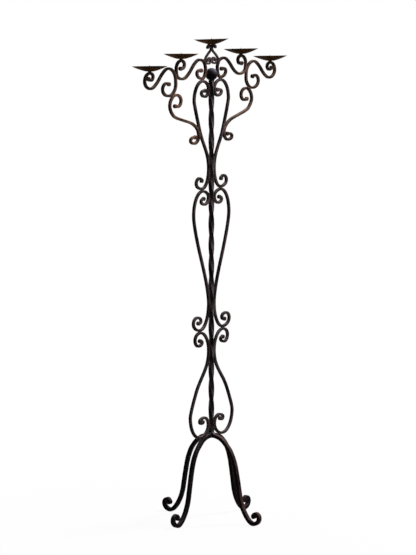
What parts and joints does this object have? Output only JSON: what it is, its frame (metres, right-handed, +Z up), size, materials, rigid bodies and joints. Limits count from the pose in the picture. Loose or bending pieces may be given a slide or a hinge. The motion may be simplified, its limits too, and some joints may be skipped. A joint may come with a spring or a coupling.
{
  "type": "candle stand",
  "caption": "Tall wrought iron floor candle stand: shallow pans with prickets on scrolled arms, a twisted square post with lyre scrolls, and spread legs with curled feet",
  "frame": {"origin": "on the floor, under the middle of the post", "axes": "+Z up along the post, +X along the arms to the right-hand pans, +Y towards the rear leg"},
  "size_m": [0.771, 0.4296, 1.6545],
  "materials": {
    "forged_iron": "hammered, blackened and waxed, rubbed brown on the edges",
    "pan_iron": "beaten sheet, dark brown underneath and dull and pale with wax inside",
    "pricket_iron": "filed to a point and blackened",
    "weld": "rough beads, blackened"
  },
  "bodies": {
    "root": {"post": "forged_iron", "ball": "forged_iron", "leg_left": "forged_iron", "leg_right": "forged_iron", "leg_front": "forged_iron", "leg_rear": "forged_iron", "lower_scroll_left": "forged_iron", "lower_scroll_right": "forged_iron", "middle_scroll_left": "forged_iron", "middle_scroll_right": "forged_iron", "upper_scroll_left": "forged_iron", "upper_scroll_right": "forged_iron", "brace_left": "forged_iron", "brace_right": "forged_iron", "inner_arm_left": "forged_iron", "inner_arm_right": "forged_iron", "outer_arm_left": "forged_iron", "outer_arm_right": "forged_iron", "heart_scroll_left": "forged_iron", "heart_scroll_right": "forged_iron", "pan_middle": "pan_iron", "pan_inner_left": "pan_iron", "pan_inner_right": "pan_iron", "pan_outer_left": "pan_iron", "pan_outer_right": "pan_iron", "pricket_middle": "pricket_iron", "pricket_inner_left": "pricket_iron", "pricket_inner_right": "pricket_iron", "pricket_outer_left": "pricket_iron", "pricket_outer_right": "pricket_iron", "collar_inner_left": "forged_iron", "collar_inner_right": "forged_iron", "collar_outer_left": "forged_iron", "collar_outer_right": "forged_iron", "hub_welds": "weld", "leg_welds": "weld", "post_welds": "weld", "scroll_welds": "weld", "arm_welds": "weld", "pan_welds": "weld"}
  },
  "joints": []
}
